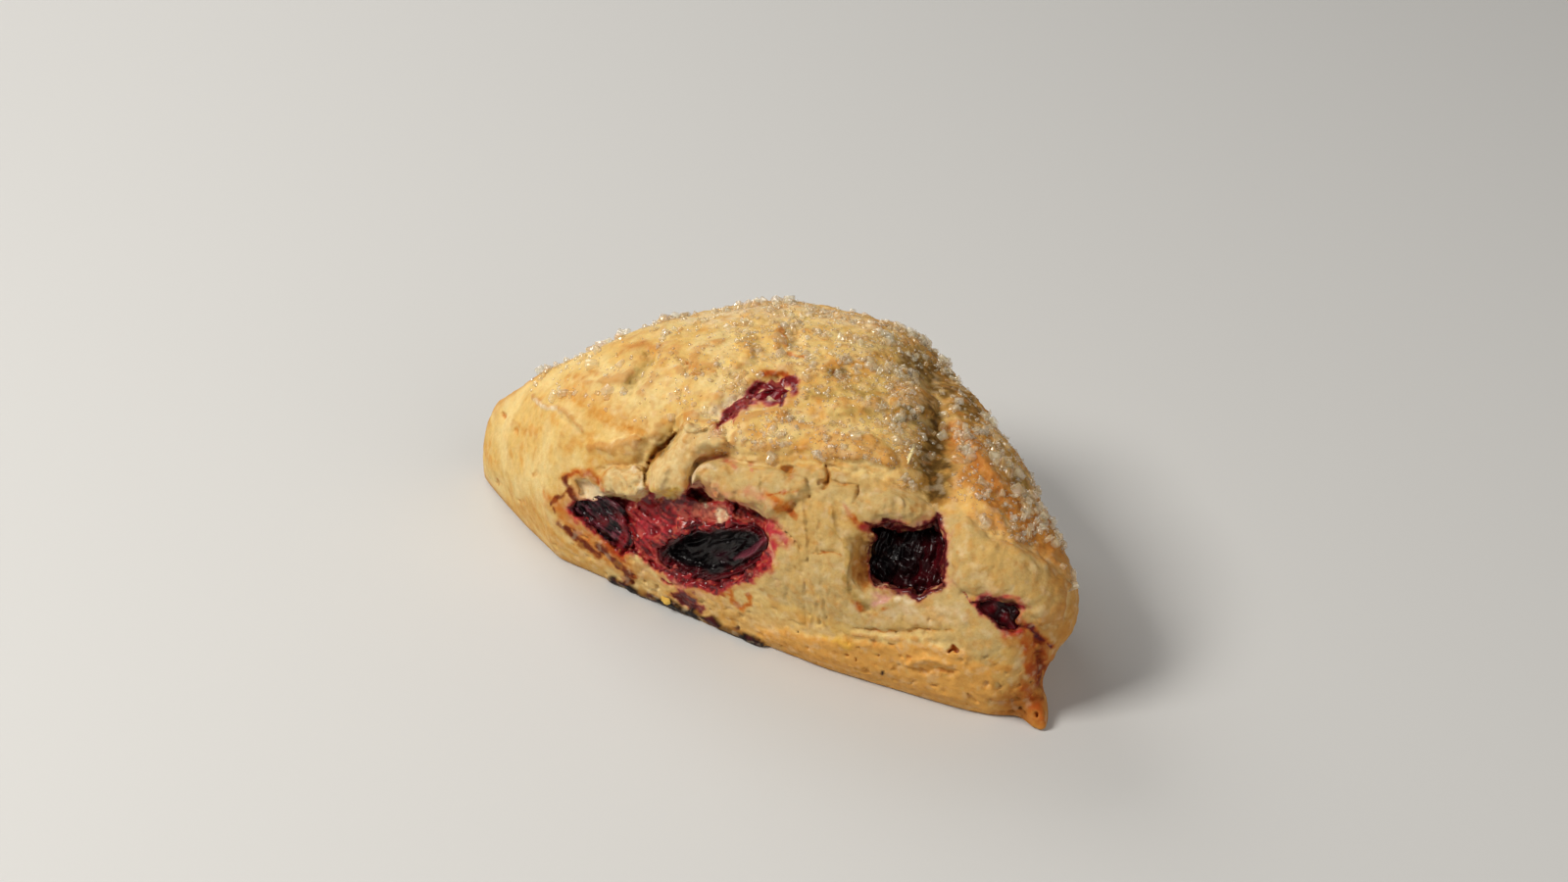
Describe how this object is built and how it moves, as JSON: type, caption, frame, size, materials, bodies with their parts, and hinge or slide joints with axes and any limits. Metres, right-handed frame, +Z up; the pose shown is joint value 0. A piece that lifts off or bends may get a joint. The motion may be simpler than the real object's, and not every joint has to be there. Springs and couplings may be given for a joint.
{
  "type": "scone",
  "caption": "Large triangular sugar-crusted berry scone with a torn front side that shows dark cooked berries.",
  "frame": {"origin": "middle of the bounding box at the flat base", "axes": "+X along the long front side towards the sharp corner, +Y towards the blunt corner at the back, +Z up"},
  "size_m": [0.1315, 0.062, 0.0469],
  "materials": {
    "baked_dough": "baked crust, pale gold with browner patches, dusted with sugar",
    "cooked_berry": "wet, wrinkled, nearly black purple skin"
  },
  "bodies": {
    "root": {"dough": "baked_dough", "berry_left": "cooked_berry", "berry_centre": "cooked_berry", "berry_right": "cooked_berry", "berry_corner": "cooked_berry", "berry_top": "cooked_berry"}
  },
  "joints": []
}
